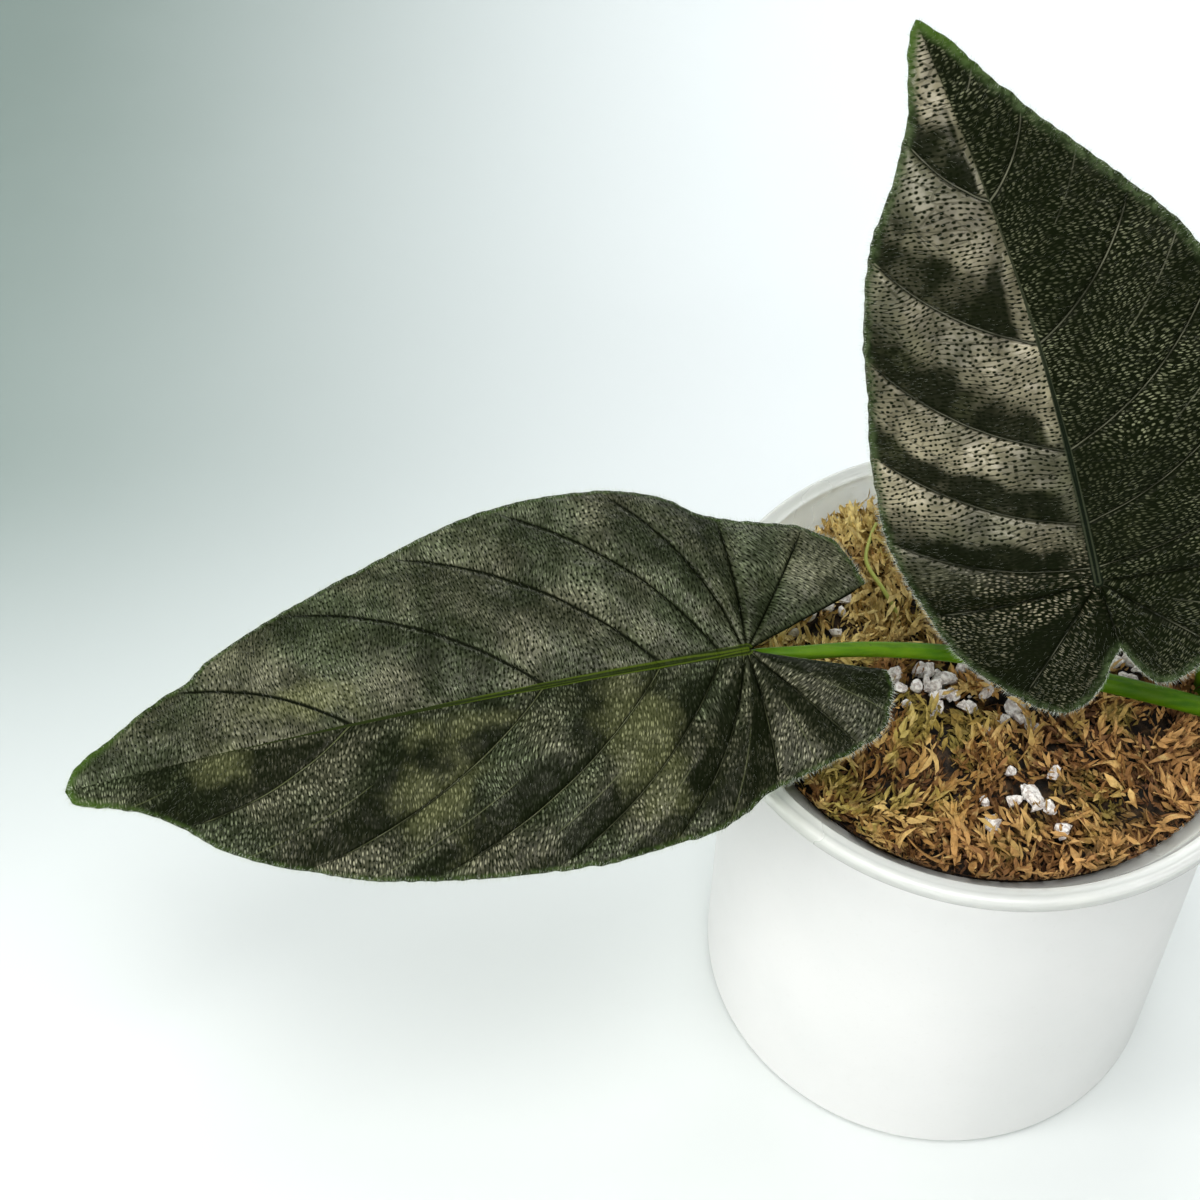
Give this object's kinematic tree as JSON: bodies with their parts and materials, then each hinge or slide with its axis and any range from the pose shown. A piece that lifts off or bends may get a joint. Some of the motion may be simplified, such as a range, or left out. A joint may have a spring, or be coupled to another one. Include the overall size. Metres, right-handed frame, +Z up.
{
  "type": "potted alocasia chienlii",
  "caption": "Small arum family house plant with dark arrow-shaped leaves on green petioles, in moss in a clear pot inside a plain white cover pot.",
  "frame": {"origin": "middle of the cover pot's flat underside", "axes": "+Z up along the pot's axis; -X towards the leaf that reaches out over the pot's edge; -Y towards the side that the leaves face"},
  "size_m": [0.2256, 0.11, 0.2243],
  "materials": {
    "cover_pot": "smooth matt white",
    "inner_pot": "clear, slightly clouded",
    "moss": "dried sphagnum, tan to olive",
    "perlite": "rough white grains",
    "sprout": "yellow-green",
    "corm": "rough brown",
    "petiole": "bright green with short hairs",
    "leaf": "black-green with a grey sheen, quilted"
  },
  "bodies": {
    "root": {"cover_pot": "cover_pot", "inner_pot": "inner_pot", "moss_bed": "moss", "perlite_left": "perlite", "perlite_middle": "perlite", "perlite_right": "perlite", "perlite_front": "perlite", "perlite_back": "perlite", "perlite_side": "perlite", "sprout": "sprout", "corm": "corm", "petiole_resting": "petiole", "petiole_upright": "petiole", "leaf_resting": "leaf", "leaf_upright": "leaf"}
  },
  "joints": []
}
